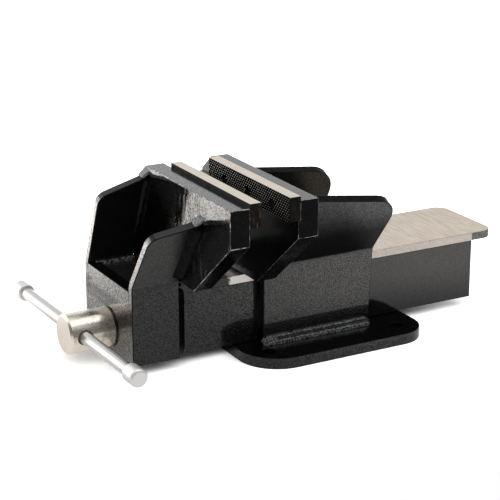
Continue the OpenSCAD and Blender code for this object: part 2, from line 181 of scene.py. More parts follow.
def enamel(
    name,
    peel=110e-6,
    grain=1.6 * MM,
    speck_size=1.1 * MM,
    tone=(0.001, 0.006),
    coat=0.6,
    spec=0.2,
    rough=0.12,
    coat_rough=0.07,
    calm=None,
    tint=0.03,
    flecks=None,
    dull=None,
    shade=None,
    bare=None,
):
    """Black enamel with orange peel of the given depth and grain.

    It is worn flat past x = calm, spattered between the two y of flecks and loses its gloss from the
    upper to the lower z of dull, a painted shade low on a wing. It turns black from the first to the
    second x of shade, at the z that is its third value, and further ahead above that: a painted shade
    beside a weld. Above z = bare, a pale steel tone shows, a painted sheen on the edges that use it.
    """
    s = Shader(name)
    skin = s.noise(grain, 1)
    speck = s.noise(speck_size, 1)
    if calm is not None:
        fade = s.span(s.axis("X"), calm, calm + CALM_FADE, 1.0, 0.25)
        skin = s.math("MULTIPLY_ADD", s.math("SUBTRACT", skin, 0.5), fade, 0.5)
        speck = s.math("MULTIPLY_ADD", s.math("SUBTRACT", speck, 0.5), fade, 0.5)
    gloss = s.span(speck, 0.32, 0.68, 0.15 * coat, 1.85 * coat)
    # Painted shade: the gloss fades out below the heights of dull
    if dull:
        gloss = s.math("MULTIPLY", gloss, s.span(s.axis("Z"), *dull, 0.08, 1.0))
    colour = s.mix(s.span(skin, 0.35, 0.7), grey(tone[0]), grey(tone[1], tint))
    # Painted shade: black and less glossy from the first to the second x of shade, leaning ahead with
    # height
    if shade:
        start, end, level = shade
        lean = s.math("MULTIPLY", s.math("SUBTRACT", s.axis("Z"), level), SHADE_LEAN)
        black = s.span(s.math("ADD", s.axis("X"), lean), start, end)
        colour = s.mix(black, colour, grey(0.001))
        gloss = s.math("MULTIPLY", gloss, s.span(black, 0.0, 1.0, 1.0, 0.2))
    # Pale steel tone and some metal above z = bare, a painted sheen on the edges that use it
    if bare is not None:
        share = s.span(s.noise(4 * MM, 3, 0.6), 0.32, 0.5)
        share = s.math("MULTIPLY", share, s.span(s.axis("Z"), bare, bare + BARE_FADE))
        colour = s.mix(share, colour, grey(0.22, 0.05))
        s.set(metallic=s.math("MULTIPLY", share, 0.5))
    s.set(
        base_color=colour,
        roughness=s.span(s.noise(18 * MM, 3), 0.3, 0.7, rough - 0.04, rough + 0.06),
        specular_ior_level=spec,
        coat_weight=gloss,
        coat_ior=1.7,
        coat_roughness=coat_rough,
    )
    layers = [(skin, peel), (s.noise(9 * MM, 1), 100e-6)]
    if flecks:
        y = s.axis("Y")
        near = s.span(y, flecks[0], flecks[0] + FLECKS_FADE[0])
        far = s.span(y, flecks[1] - FLECKS_FADE[1], flecks[1], 1.0, 0.0)
        streaks = s.noise(7 * MM, 1.5, 0.6, scale=(1, 1, 0.35), turn=(math.radians(20), 0, 0))
        layers.append((s.math("MULTIPLY", streaks, s.math("MULTIPLY", near, far)), 3.2 * MM))
    s.bump(*layers)
    return s.material


def edge_wear_and_highlight(name, wear, tone=0.02, coat=0.5):
    """Enamel drawn thin over an edge, with pale steel showing here and there: partly wear, partly a
    painted highlight of the edge catching the light.
    """
    s = Shader(name)
    # Pale steel patches: partly wear, partly a painted highlight
    worn = s.span(s.noise(5 * MM, 3, 0.6), 0.6 - wear, 0.8 - wear)
    s.set(
        base_color=s.mix(worn, grey(tone), grey(0.55, 0.04)),
        metallic=s.math("MULTIPLY", worn, 0.6),
        roughness=0.34,
        specular_ior_level=0.4 * coat,
        coat_weight=coat,
        coat_roughness=0.12,
    )
    s.bump((s.noise(1.7 * MM, 1), 120e-6))
    return s.material


def bare_plate(name, paint_x, raw_x):
    """Ground bare steel, painted ahead of paint_x, with raw cut sides behind raw_x."""
    s = Shader(name)
    x = s.axis("X")
    ragged = s.math("MULTIPLY", s.math("SUBTRACT", s.noise(5 * MM, 4, 0.7), 0.5), 14 * MM)
    bare = s.span(s.math("ADD", x, ragged), paint_x - 0.4 * MM, paint_x + 0.4 * MM)
    side = s.span(s.math("ABSOLUTE", s.facing("Z")), 0.4, 0.6, 1, 0)
    raw = s.math("MULTIPLY", side, s.span(x, raw_x - 0.5 * MM, raw_x + 0.5 * MM))
    under = s.span(s.facing("Z"), -0.6, -0.4, 1, 0)
    hidden = s.math("MAXIMUM", raw, under)
    metal = s.math("MULTIPLY", bare, s.math("SUBTRACT", 1.0, hidden))
    marks = s.noise(1.5 * MM, 3, 0.6, scale=(1, 0.08, 1), turn=(0, 0, math.radians(10)))
    blotch = s.noise(22 * MM, 3)
    tone = s.mix(blotch, (0.68, 0.58, 0.48, 1), (0.80, 0.71, 0.60, 1))
    tone = s.mix(s.span(marks, 0.35, 0.65, 0.0, 0.75), tone, (0.59, 0.50, 0.42, 1))
    tone = s.mix(s.math("MULTIPLY", side, 0.5), tone, (0.33, 0.345, 0.365, 1))
    # Paler, nearly white, from 40 to 60 mm behind the paint edge
    paler_near_paint = s.span(x, paint_x + 40 * MM, paint_x + 60 * MM, 0.75, 0.0)
    tone = s.mix(paler_near_paint, tone, (0.97, 0.93, 0.89, 1))
    margin = s.span(s.math("ADD", x, ragged), paint_x, paint_x + 3 * MM, 0.9, 0.0)
    tone = s.mix(s.math("MULTIPLY", margin, s.noise(2 * MM, 3)), tone, (0.20, 0.12, 0.06, 1))
    scale = s.mix(s.span(s.noise(1.4 * MM, 4, 0.7), 0.35, 0.65), grey(0.004), grey(0.13, 0.12))
    paint = s.mix(raw, grey(0.012), scale)
    rough = s.span(marks, 0.3, 0.7, 0.30, 0.46)
    s.set(
        base_color=s.mix(metal, paint, tone),
        metallic=metal,
        roughness=s.blend(metal, 0.2, rough),
    )
    s.bump((marks, 12e-6), (s.noise(1.3 * MM, 1), 8e-6))
    return s.material


def polished(name, tone, along, rough, metallic, stain=0.0, stain_x=0.0):
    """Bright steel turned about the axis that along names, with amber stains past x = stain_x."""
    s = Shader(name)
    rings = s.noise(0.7 * MM, 2, 0.6, scale=tuple(1.0 if axis == along else 0.02 for axis in "XYZ"))
    wear = s.span(s.noise(6 * MM, 4, 0.6), 0.5, 0.62, 0.0, stain)
    wear = s.math("MULTIPLY", wear, s.span(s.axis("X"), stain_x - 8 * MM, stain_x + 8 * MM, 0.15, 1.0))
    dull = (0.72 * tone[0], 0.60 * tone[1], 0.44 * tone[2], 1)
    s.set(
        base_color=s.mix(wear, tone, dull),
        metallic=metallic,
        roughness=s.span(s.noise(3 * MM, 3), 0.3, 0.7, rough - 0.04, rough + 0.08),
    )
    s.bump((rings, 1e-6), (s.noise(4 * MM, 2), 40e-6 * stain))
    return s.material


def ground(name):
    """Ground top of a hardened insert."""
    s = Shader(name)
    lines = s.noise(0.8 * MM, 3, 0.6, scale=(1, 0.03, 1))
    tone = s.mix(s.noise(14 * MM, 3), (0.66, 0.59, 0.48, 1), (0.80, 0.74, 0.63, 1))
    s.set(base_color=tone, metallic=1.0, roughness=s.span(lines, 0.3, 0.7, 0.26, 0.4))
    s.bump((lines, 8e-6))
    return s.material


def scaled(name, rust, end):
    """Dark heat-treated steel with rusty streaks near the end at y = end."""
    s = Shader(name)
    rust = s.span(s.math("SUBTRACT", s.axis("Y"), end), 2 * MM, 5 * MM, rust, 0.1 * rust)
    tone = s.mix(s.noise(3 * MM, 4, 0.7), grey(0.002, 0.02), grey(0.014, 0.06))
    streak = s.noise(2.4 * MM, 3, 0.6, scale=(1, 1, 0.25))
    share = s.math("MULTIPLY", s.span(streak, 0.54, 0.68), rust)
    s.set(
        base_color=s.mix(share, tone, (0.21, 0.09, 0.045, 1)),
        metallic=s.span(share, 0.0, 1.0, 0.3, 0.1),
        roughness=s.span(streak, 0.3, 0.7, 0.34, 0.55),
        specular_ior_level=0.08,
    )
    s.bump((s.noise(1.2 * MM, 3), 30e-6))
    return s.material


def knurl(name, face, depth, low, high):
    """Worn peaks over dark valleys of a knurl cut down from the plane at face, between two corners; the
    peaks' near-white tone is partly wear and partly a painted glint.

    It is darker towards its lower edge and towards its end at the lower y.
    """
    s = Shader(name)
    down = s.math("ABSOLUTE", s.math("SUBTRACT", s.axis("X"), face))
    share = s.span(down, 0.16 * depth, 0.42 * depth)
    # Near-white peaks: partly wear, partly a painted glint of facets catching the light
    peak = s.mix(s.noise(5 * MM, 3), grey(0.9, 0.08), grey(1.0, 0.06))
    # Darker towards the lower edge and the end at the lower y
    full_tone_z = low.z + 0.7 * (high.z - low.z)
    below = s.span(s.axis("Z"), low.z, full_tone_z, 0.85, 0.0)
    beside = s.span(s.axis("Y"), low.y, high.y, 0.7, 0.0)
    for darkening in (below, beside):
        peak = s.mix(darkening, peak, grey(0.06, 0.25))
    s.set(
        base_color=s.mix(share, peak, grey(0.001, 0.1)),
        metallic=s.span(share, 0.0, 1.0, 0.3, 0.0),
        roughness=s.span(share, 0.0, 1.0, 0.36, 0.7),
        specular_ior_level=s.span(share, 0.0, 1.0, 0.5, 0.02),
    )
    return s.material


def steel(name, tone, rough, metallic=1.0):
    """Plain machined metal with a little grain."""
    s = Shader(name)
    dark = tuple(0.7 * value for value in tone[:3]) + (1,)
    s.set(
        base_color=s.mix(s.noise(6 * MM, 4), dark, tone),
        metallic=metallic,
        roughness=s.span(s.noise(4 * MM, 3), 0.3, 0.7, rough - 0.06, rough + 0.1),
    )
    s.bump((s.noise(1.5 * MM, 2), 10e-6))
    return s.material


def bronze_with_shaded_end(name, tone, end, depth):
    """Bearing metal, black near the end at x = end: a painted shade for the dark gap at the body's
    front.
    """
    s = Shader(name)
    # Painted shade: black within depth of the end
    unshaded = s.span(s.math("SUBTRACT", s.axis("X"), end), 0.5 * depth, depth)
    s.set(base_color=s.mix(unshaded, grey(0.004), tone), metallic=unshaded, roughness=0.35)
    return s.material


# Where the finishes change and over which length; a wing's black painted shade leans ahead with its
# height
PAINT_EDGE = -98 * MM
CALM_X, CALM_FADE = -30 * MM, 60 * MM
FLECKS_Y, FLECKS_FADE = (-108 * MM, -48 * MM), (16 * MM, 30 * MM)
BARE_FADE = 12 * MM
# Heights below which the near rear wing's gloss fades out, a painted shade by its bend
LOW_SHADE_Z = (110 * MM, 132 * MM)
NEAR_WELD_LEG = 9 * MM
near_weld_x = moving_x0 - NEAR_WELD_LEG
# Painted shade on the near front wing's outer face, beside its weld to the jaw plate
SHADE = (near_weld_x - 14 * MM, near_weld_x - 2 * MM, 150 * MM)
SHADE_LEAN = 0.17
STAIN_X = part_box("screw_head")[0].x + 24 * MM
END_SHADE_L = 4 * MM
near_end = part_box("fixed_jaw_insert")[0].y

# Finishes
PAINT = enamel("black_enamel", peel=350e-6, grain=1.8 * MM)
FRONT = {"peel": 650e-6, "grain": 1.8 * MM, "speck_size": 1.7 * MM, "coat": 0.72}
FRONT_PAINT = enamel("front_enamel", **FRONT)
# Wings' front edges: a pale steel tone above the slide's top, a painted sheen
FRONT_EDGE_SHEEN = enamel("front_edge_sheen_enamel", bare=slide_top, **FRONT)
# Grey tone, lighter than the other enamels: a painted sheen on the near front wing's outer face
NEAR_WING_SHEEN_PAINT = enamel(
    "near_wing_sheen_enamel",
    peel=60e-6,
    grain=0.9 * MM,
    tone=(0.015, 0.085),
    coat=0.15,
    spec=0.1,
    rough=0.4,
    coat_rough=0.3,
    shade=SHADE,
)
REAR_WING_PAINT = enamel(
    "rear_wing_enamel",
    tone=(0.0003, 0.0015),
    coat=0.78,
    spec=0.15,
    rough=0.3,
    coat_rough=0.3,
    dull=LOW_SHADE_Z,
)
FAR_WING_PAINT = enamel(
    "far_wing_enamel", tone=(0.0003, 0.0015), coat=0.3, spec=0.1, rough=0.3, coat_rough=0.3
)
JAW_PAINT = enamel("jaw_enamel", coat=0.48)
BASE_PAINT = enamel("base_enamel", peel=40e-6, tone=(0.0005, 0.002), coat=0.5)
PLATE_PAINT = enamel("jaw_plate_enamel", tone=(0.0005, 0.003), coat=0.5, rough=0.1)
FIXED_PAINT = enamel("fixed_plate_enamel", tone=(0.0005, 0.003), coat=0.2, spec=0.08, rough=0.1)
TOP_PAINT = enamel("fixed_top_enamel", tone=(0.0005, 0.003), coat=0.4, spec=0.15, rough=0.12)
FACE_PAINT = enamel(
    "jaw_face_enamel",
    peel=220e-6,
    grain=2.9 * MM,
    tone=(0.0003, 0.002),
    coat=0.68,
    rough=0.1,
    flecks=FLECKS_Y,
)
SMOOTH_PAINT = enamel("slide_enamel", peel=300e-6, tone=(0.001, 0.005), coat=0.5, calm=CALM_X)
# Base welds: the grey, bluish tone is a painted sheen of the fillet's face
WELD_SHEEN_PAINT = enamel(
    "weld_sheen_enamel", peel=600e-6, grain=1.5 * MM, tone=(0.002, 0.10), coat=0.8, rough=0.18, tint=-0.05
)
# Pocket seams: the grey tone is a painted glint of the bead
SEAM_GLINT_PAINT = enamel("seam_glint_enamel", peel=400e-6, grain=2.5 * MM, tone=(0.004, 0.10), coat=0.9, rough=0.14)
# Weld caps: the light grey tone is a painted highlight of their tops
CAP_HIGHLIGHT_PAINT = enamel("cap_highlight_enamel", peel=150e-6, tone=(0.08, 0.22), coat=0.9, rough=0.16, tint=-0.03)
DARK_WELD = enamel("dark_weld_enamel", peel=200e-6, tone=(0.0005, 0.003), coat=0.04, spec=0.04)
WELD_CORE = enamel("weld_core_enamel", peel=500e-6, grain=1.5 * MM, tone=(0.001, 0.02), coat=0.3)
CUT_EDGE = enamel("cut_edge_enamel", peel=500e-6, tone=(0.002, 0.012), coat=0.1, spec=0.5, rough=0.5)
REAR_CUT = enamel("rear_cut_enamel", peel=300e-6, tone=(0.0005, 0.003), coat=0.04, spec=0.05, rough=0.4)
# Bevels: pale steel here and there, partly wear and partly a painted highlight of the rounded edges
EDGE = edge_wear_and_highlight("edge_wear_and_highlight", -0.1, tone=0.006, coat=0.15)
JAW_EDGE = edge_wear_and_highlight("jaw_edge_wear_and_highlight", 0.17)
BARE = bare_plate("bare_plate", PAINT_EDGE, slide_high.x)
HEAD_STEEL = polished(
    "head_steel", (0.86, 0.79, 0.69, 1), "X", rough=0.2, metallic=0.9, stain=0.85, stain_x=STAIN_X
)
BAR_STEEL = polished("bar_steel", (0.60, 0.59, 0.575, 1), "Y", rough=0.24, metallic=0.88)
KNOB_STEEL = polished("knob_steel", (0.79, 0.78, 0.76, 1), "Y", rough=0.34, metallic=0.65)
GROUND = ground("ground_insert")
FIXED_SCALE = scaled("fixed_insert_scale", 0.05, near_end)
MOVING_SCALE = scaled("moving_insert_scale", 0.5, near_end)
BLACK_OXIDE = steel("black_oxide", grey(0.03, 0.02), 0.4, 0.7)
# Guide strips: black at their front ends, a painted shade
BRONZE = bronze_with_shaded_end("bronze_shaded_end", (0.45, 0.30, 0.13, 1), body_x0, END_SHADE_L)
IRON = steel("nut_iron", grey(0.16, 0.02), 0.5, 0.8)
SPINDLE = steel("spindle_steel", grey(0.45, 0.03), 0.3)


def build(name, verts, faces, materials, body):
    """A piece in the row frame from vertices and faces."""
    mesh = bpy.data.meshes.new(name)
    mesh.from_pydata([tuple(v) for v in verts], [], faces)
    return place(name, mesh, materials, body)


def place(name, mesh, materials, body):
    """A piece of the scene with its materials, on its body."""
    for material in materials:
        mesh.materials.append(material)
    piece = bpy.data.objects.new(name, mesh)
    bpy.context.scene.collection.objects.link(piece)
    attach(piece, body)
    return piece


def smooth(piece, angle):
    """Smooth shading that keeps flat faces flat and edges over the angle sharp."""
    piece.data.polygons.foreach_set("use_smooth", [True] * len(piece.data.polygons))
    piece.data.set_sharp_from_angle(angle=math.radians(angle))
    modifier = piece.modifiers.new("normals", "WEIGHTED_NORMAL")
    modifier.keep_sharp = True


# Angles within which the normals of a bevel and of another face blend with those beside them
BEVEL_BLEND, FACE_BLEND = math.radians(60), math.radians(25)


def flat_normals(mesh):
    """Normals that keep flat faces flat, bends smooth and bevels, of material 1, blended into both."""
    around = [[] for _ in mesh.vertices]
    for face in mesh.polygons:
        for v in face.vertices:
            around[v].append(face)
    normals = []
    for face in mesh.polygons:
        reach = math.cos(BEVEL_BLEND if face.material_index == 1 else FACE_BLEND)
        for v in face.vertices:
            close = [other for other in around[v] if other.normal.dot(face.normal) > reach]
            flats = [other for other in close if other.material_index != 1]
            total = sum((other.normal * other.area for other in flats or close), Vector())
            normals.append(total.normalized())
    mesh.polygons.foreach_set("use_smooth", [True] * len(mesh.polygons))
    mesh.normals_split_custom_set(normals)


# Slack for places that should agree, reach of points that are one, and angles of flat and sharp edges
SLACK = 0.01 * MM
ONE_POINT = 0.001 * MM
FLAT_ANGLE = math.radians(0.5)
SHARP_ANGLE = math.radians(25)
# Directions that faces look along, with the least cosines to them
AHEAD = Vector((-1, 0, 0))
UP = Vector((0, 0, 1))
FACING, FACING_CLOSELY = 0.8, 0.97
# Widths of the broken edges
EDGE_W, SLIDE_EDGE_W, TOP_EDGE_W = 0.8 * MM, 0.4 * MM, 0.5 * MM


def joined_flush(edge):
    """Whether an edge lies where the side plates are ground flush with the front plate."""
    return all(
        abs(v.co.x - front_x0) < SLACK and abs(abs(v.co.y) - slide_y) < SLACK for v in edge.verts
    )


def soften(node, body, material, width=EDGE_W, keep_sharp=None, edge=EDGE, faces=()):
    """A copy of a CAD node with broken edges but for its lowest, which stands for it.

    Each of faces gives another material to what looks along a direction, with the least cosine to it.
    """
    bm = bmesh.new()
    bm.from_mesh(nodes[node].data)
    bmesh.ops.remove_doubles(bm, verts=bm.verts, dist=ONE_POINT)
    bmesh.ops.dissolve_limit(bm, angle_limit=FLAT_ANGLE, verts=bm.verts, edges=bm.edges)
    lowest = min(v.co.z for v in bm.verts) + SLACK
    edges = [
        e
        for e in bm.edges
        if e.is_manifold
        and e.calc_face_angle() > SHARP_ANGLE
        and max(v.co.z for v in e.verts) > lowest
        and not (keep_sharp and keep_sharp(e))
    ]
    bmesh.ops.bevel(
        bm,
        geom=edges,
        offset=width,
        segments=3,
        profile=0.5,
        affect="EDGES",
        clamp_overlap=True,
        material=1,
    )
    for face in bm.faces:
        for index, (direction, _, reach) in enumerate(faces):
            if face.material_index == 0 and face.normal.dot(direction) > reach:
                face.material_index = 2 + index
    mesh = bpy.data.meshes.new(node + "_shell")
    bm.to_mesh(mesh)
    bm.free()
    others = [other for _, other, _ in faces]
    piece = place(node + "_shell", mesh, [material, edge, *others], body)
    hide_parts(node)
    flat_normals(mesh)


def up_wing(lean):
    """Direction in which a wing of the given lean rises."""
    return Vector((0, -math.sin(lean), math.cos(lean)))


def wing_faces(lean, top, paint, front):
    """Materials of a wing's cut top edge, outer face and front edge."""
    outside = Vector((0, -math.cos(lean), -math.sin(lean)))
    return [(up_wing(lean), top, FACING), (outside, paint, FACING_CLOSELY), (AHEAD, front, FACING)]


soften("base_plate", "body", BASE_PAINT)
fixed_faces = [(UP, TOP_PAINT, FACING), (AHEAD, FIXED_PAINT, FACING)]
soften("fixed_jaw_plate", "body", PLATE_PAINT, edge=JAW_EDGE, faces=fixed_faces)
soften("bridge_plate", "body", PAINT)
BODY_SIDES = (
    ("body_side_near", NEAR_LEAN, REAR_WING_PAINT),
    ("body_side_far", FAR_REAR_LEAN, FAR_WING_PAINT),
)
for node, lean, paint in BODY_SIDES:
    soften(node, "body", PAINT, faces=wing_faces(lean, REAR_CUT, paint, FIXED_PAINT))
soften("front_plate", "moving_jaw", FRONT_PAINT, keep_sharp=joined_flush)
JAW_SIDES = (("jaw_side_near", NEAR_LEAN, NEAR_WING_SHEEN_PAINT), ("jaw_side_far", FAR_FRONT_LEAN, JAW_PAINT))
for node, lean, paint in JAW_SIDES:
    faces = wing_faces(lean, CUT_EDGE, paint, FRONT_EDGE_SHEEN)
    soften(node, "moving_jaw", JAW_PAINT, keep_sharp=joined_flush, faces=faces)
moving_faces = [(AHEAD, FACE_PAINT, FACING)]
soften("moving_jaw_plate", "moving_jaw", PLATE_PAINT, edge=JAW_EDGE, faces=moving_faces)
for node in ("slide_side_near", "slide_side_far"):
    soften(node, "moving_jaw", SMOOTH_PAINT, width=SLIDE_EDGE_W)
soften("slide_top_plate", "moving_jaw", BARE, width=TOP_EDGE_W, edge=BARE)


def dress(material, *names):
    """A material on CAD nodes whose shape is right."""
    for name in names:
        nodes[name].data.materials.clear()
        nodes[name].data.materials.append(material)


dress(HEAD_STEEL, "screw_head")
dress(BAR_STEEL, "tommy_bar")
dress(KNOB_STEEL, "bar_knob_near", "bar_knob_far")
dress(BLACK_OXIDE, "fixed_jaw_screws", "moving_jaw_screws", "nut_bolts")
dress(BRONZE, "guide_strip_near", "guide_strip_far")
dress(IRON, "lead_nut")
dress(SPINDLE, "thrust_washer", "retaining_collar", "collar_pin")


# Welds: pitch of the ripples, how far their middle trails and shifts, and steps along and across
RIPPLE, TRAIL, SHIFT = 2.2 * MM, 1.6 * MM, 0.7 * MM
RING, SECTION = 0.55 * MM, 13
# Lengths over which a weld's size and its core change
STRAY_L, CORE_L = 9 * MM, 5 * MM
# Legs of the welds, reach of the welds over the wings' top edges, and their height
BASE_LEGS = (8 * MM, 7.5 * MM)
SLIDE_LEGS = (8.5 * MM, 6 * MM)
POCKET_LEGS = (3.5 * MM, 3.5 * MM)
PLATE_LEGS = (6 * MM, 6 * MM)
FAR_OUTER_LEGS = (4 * MM, 4 * MM)
FAR_INNER_LEGS = (5 * MM, 5 * MM)
NEAR_OUTER_LEGS = (NEAR_WELD_LEG, 5 * MM)
FRONT_CAP, REAR_CAP, CAP_H = 6.5 * MM, 8 * MM, 7 * MM
# How far welds run past plates, stop short of a low and a high end, and lie in a wing's top edge
BASE_PAST, POCKET_PAST = 3 * MM, 6 * MM
SLIDE_SHORT = (1 * MM, 2 * MM)
WING_SHORT = (2 * MM, 1 * MM)
CAP_SUNK, CAP_SHIFT = 0.5 * MM, (0.2 * MM, 0.8 * MM)
BASE_TAPER, CAP_TAPER = 10 * MM, 0.4 * MM


def bead(
    name,
    start,
    end,
    leg_a,
    leg_b,
    size_a,
    size_b,
    body,
    seed,
    crown=0.12,
    ripple=0.06,
    ridges=0,
    rail=0.05,
    stray=0.16,
    taper=None,
    paint=DARK_WELD,
    core=0.0,
):
    """Fillet weld from start to end, in the corner between faces that leave it along the legs.

    Its ends are dark, and so is about the middle share of its face that core gives.
    """
    start, end = Vector(start), Vector(end)
    leg_a, leg_b = Vector(leg_a).normalized(), Vector(leg_b).normalized()
    run = end - start
    length = run.length
    run.normalize()
    rings = max(12, round(length / RING))
    size = (size_a + size_b) / 2
    outwards = (leg_a + leg_b).normalized()
    verts, faces = [], []
    for i in range(rings + 1):
        s = length * i / rings
        to_end = min(s, length - s) / (taper or size)
        close = math.sqrt(max(0.0, 1 - (1 - min(1, to_end + 0.12)) ** 2))
        wander = Vector((s / STRAY_L, seed, 0))
        a = size_a * close * (1 + stray * noise.noise(wander))
        b = size_b * close * (1 + stray * noise.noise(wander + Vector((0, 0, 5))))
        ring = [start + run * s]
        for k in range(SECTION):
            t = k / (SECTION - 1)
            hump = math.sin(math.pi * t)
            lag = s + TRAIL * hump + SHIFT * noise.noise(wander * 2)
            scallop = abs(math.sin(math.pi * lag / RIPPLE))
            rows = abs(math.sin(math.pi * ridges * t)) * rail
            lift = size * close * (crown * hump + ripple * hump * scallop + rows)
            ring.append(start + run * s + leg_a * a * (1 - t) + leg_b * b * t + outwards * lift)
        verts += ring
    n = SECTION + 1
    skins = []
    for i in range(rings):
        s = length * i / rings
        width = core * (1 + noise.noise(Vector((s / CORE_L, seed, 3)))) if s > 2 * size else 0
        for k in range(n):
            a, b = i * n + k, i * n + (k + 1) % n
            faces.append((a, b, b + n, a + n))
            skins.append(2 if abs((k - 0.5) / (SECTION - 1) - 0.5) < width / 2 else 0)
    faces.append(tuple(range(n))[::-1])
    faces.append(tuple(rings * n + k for k in range(n)))
    skins += [1, 1]
    piece = build(name, verts, faces, [paint, DARK_WELD, WELD_CORE], body)
    piece.data.polygons.foreach_set("material_index", skins)
    outward(piece)
    smooth(piece, 80)


def outward(piece):
    """Faces turned outwards."""
    bm = bmesh.new()
    bm.from_mesh(piece.data)
    bmesh.ops.recalc_face_normals(bm, faces=bm.faces)
    bm.to_mesh(piece.data)
    bm.free()


def wing_beads(wing, x, away, face_y, thick, bend_z, lean, body, seed, outer, inner, cap):
    """Welds of a wing's two faces and its top edge, cap long, to a jaw plate's face at x."""
    out = Vector((0, math.cos(lean), math.sin(lean)))
    up = up_wing(lean)
    centre = Vector((x, face_y - BEND_R, bend_z))
    away = Vector((away, 0, 0))
    length = WING_L[wing]
    near, far = centre + out * BEND_R, centre + out * (BEND_R + thick)
    faces = (("near", near, -out, outer, 5, seed + 4), ("far", far, out, inner, 0, seed + 3))
    for word, foot, leg, legs, ridges, face_seed in faces:
        bead(
            f"weld_{wing}_{word}",
            foot + up * WING_SHORT[0],
            foot + up * (length - WING_SHORT[1]),
            away,
            leg,
            *legs,
            body,
            face_seed,
            ridges=ridges,
            ripple=0.02 if ridges else 0.09,
        )
    top = up * (length - CAP_SUNK)
    bead(
        f"weld_{wing}_top",
        near + top + out * CAP_SHIFT[0],
        far + top + out * CAP_SHIFT[1],
        away,
        up,
        cap,
        CAP_H,
        body,
        seed + 9,
        crown=0.04,
        ripple=0.02,
        stray=0.08,
        taper=CAP_TAPER,
        paint=CAP_HIGHLIGHT_PAINT,
    )


side_x1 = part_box("jaw_side_near")[1].x
near_z = slide_top + NEAR_BEND
far_z = slide_top + FAR_BEND
for side, word in ((-1, "near"), (1, "far")):
    y = side * body_y
    bead(
        f"weld_base_{word}",
        (body_x0 - BASE_PAST, y, base_top),
        (body_x1, y, base_top),
        (0, side, 0),
        (0, 0, 1),
        *BASE_LEGS,
        "body",
        side,
        crown=0.02,
        ripple=0.10,
        ridges=2,
        rail=0.18,
        stray=0.1,
        taper=BASE_TAPER,
        paint=WELD_SHEEN_PAINT,
        core=0.3,
    )
    y = side * slide_y
    bead(
        f"weld_slide_{word}",
        (side_x1, y, slide_low.z + SLIDE_SHORT[0]),
        (side_x1, y, slide_top - SLIDE_SHORT[1]),
        (1, 0, 0),
        (0, side, 0),
        *SLIDE_LEGS,
        "moving_jaw",
        20 + side,
        crown=0.0,
        ripple=0.02,
        stray=0.05,
    )
    bead(
        f"weld_pocket_{word}",
        (front_x1 - POCKET_PAST, y, slide_top),
        (moving_x0 + POCKET_PAST, y, slide_top),
        (0, -side, 0),
        (0, 0, 1),
        *POCKET_LEGS,
        "moving_jaw",
        30 + side,
        crown=0.25,
        ripple=0.25,
        stray=0.3,
        paint=SEAM_GLINT_PAINT,
    )
    y = side * body_in
    bead(
        f"weld_bridge_{word}",
        (body_x0, y, bridge_top),
        (body_x1, y, bridge_top),
        (0, -side, 0),
        (0, 0, 1),
        *PLATE_LEGS,
        "body",
        40 + side,
    )
# Wings: y of the near face, z of the bend, lean, seed, legs of the near and far welds, length of the cap
FRONT_WINGS = (
    ("near_front", -frame_y, near_z, NEAR_LEAN, 3, NEAR_OUTER_LEGS, PLATE_LEGS, FRONT_CAP),
    ("far_front", slide_y, far_z, FAR_FRONT_LEAN, 5, FAR_OUTER_LEGS, FAR_INNER_LEGS, FRONT_CAP),
)
REAR_WINGS = (
    ("near_rear", -body_y, near_z, NEAR_LEAN, 7, PLATE_LEGS, PLATE_LEGS, REAR_CAP),
    ("far_rear", body_in, far_z, FAR_REAR_LEAN, 9, PLATE_LEGS, PLATE_LEGS, REAR_CAP),
)
for wing, face_y, bend_z, lean, seed, *sizes in FRONT_WINGS:
    wing_beads(wing, moving_x0, -1, face_y, FRAME_T, bend_z, lean, "moving_jaw", seed, *sizes)
for wing, face_y, bend_z, lean, seed, *sizes in REAR_WINGS:
    wing_beads(wing, body_x0, 1, face_y, BODY_T, bend_z, lean, "body", seed, *sizes)


# Knurled inserts: steps from a peak to the next valley, the depth between them, and the drills' overrun
TOOTH_Y, TOOTH_Z = 1.75 * MM, 2.28 * MM
KNURL_DEPTH = 1.0 * MM
DRILL_PAST = 2 * MM
# Turns a cylinder's axis from z to x
ALONG_X = Matrix.Rotation(math.pi / 2, 4, "Y")


